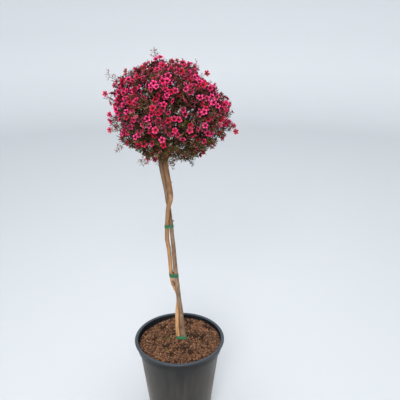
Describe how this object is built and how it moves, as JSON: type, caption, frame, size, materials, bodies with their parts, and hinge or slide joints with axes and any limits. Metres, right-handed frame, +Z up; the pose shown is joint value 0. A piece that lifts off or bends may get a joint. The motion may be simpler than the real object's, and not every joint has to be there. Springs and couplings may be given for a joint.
{
  "type": "potted flowering tea tree standard",
  "caption": "Small tea tree trained as a standard: twisted twin stem, round crown of fine leaves and pink-red blossom, in a black nursery pot.",
  "frame": {"origin": "centre of the pot's flat underside, on the surface it stands on", "axes": "+Z up along the stems, +X to the right and +Y away from the viewer of the picture"},
  "size_m": [0.3325, 0.3259, 1.0508],
  "materials": {
    "pot": "satin black recycled plastic, dusty sides",
    "soil": "rough bark compost",
    "tan_bark": "rough orange-tan bark",
    "grey_bark": "rough grey-brown bark",
    "tie_tape": "soft green tying tape",
    "foliage": "bronze-olive leaves",
    "blossom": "soft pink-red petals"
  },
  "bodies": {
    "root": {"pot": "pot", "soil": "soil", "stem_tan": "tan_bark", "stem_grey": "grey_bark", "tie_base": "tie_tape", "tie_lower": "tie_tape", "tie_upper": "tie_tape", "bough_01": "grey_bark", "bough_02": "grey_bark", "bough_03": "grey_bark", "bough_04": "grey_bark", "bough_05": "grey_bark", "bough_06": "grey_bark", "bough_07": "grey_bark", "bough_08": "grey_bark", "bough_09": "grey_bark", "bough_10": "grey_bark", "bough_11": "grey_bark", "bough_12": "grey_bark", "bough_13": "grey_bark", "foliage_01": "foliage", "foliage_02": "foliage", "foliage_03": "foliage", "foliage_04": "foliage", "foliage_05": "foliage", "foliage_06": "foliage", "foliage_07": "foliage", "foliage_08": "foliage", "foliage_09": "foliage", "foliage_10": "foliage", "foliage_11": "foliage", "foliage_12": "foliage", "foliage_13": "foliage"}
  },
  "joints": []
}
